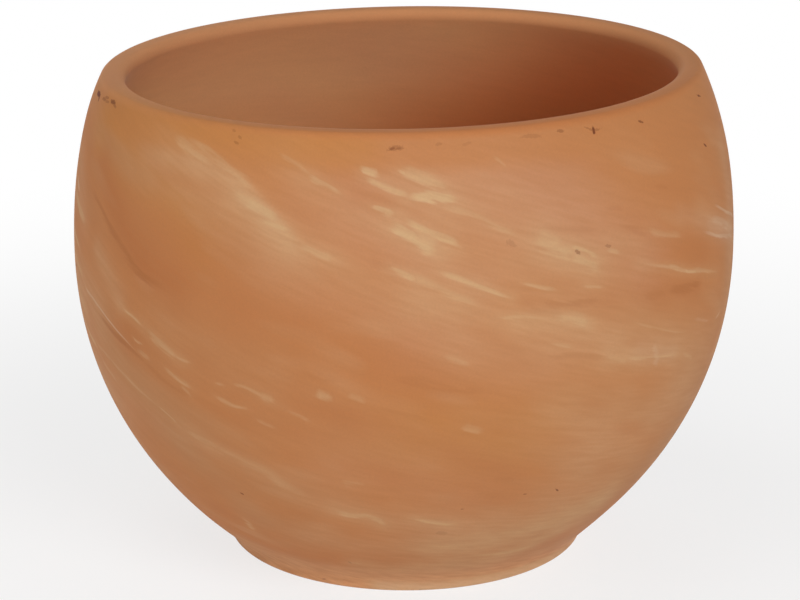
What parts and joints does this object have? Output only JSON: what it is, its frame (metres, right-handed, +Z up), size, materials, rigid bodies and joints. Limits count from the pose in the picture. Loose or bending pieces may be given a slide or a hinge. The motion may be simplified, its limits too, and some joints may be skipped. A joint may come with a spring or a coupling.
{
  "type": "globe planter",
  "caption": "Round terracotta plant pot with a short foot, a full belly, a wide open mouth with a thick rounded lip, and a drain hole in the floor.",
  "frame": {"origin": "centre of the foot, on the ground", "axes": "+Z up along the pot's axis, out of the mouth; +X towards the slightly higher side of the lip"},
  "size_m": [0.26, 0.26, 0.194],
  "materials": {
    "terracotta": "matt unglazed fired clay, marbled orange and buff, fine grained with small pits"
  },
  "bodies": {
    "root": {"pot_body": "terracotta"}
  },
  "joints": []
}
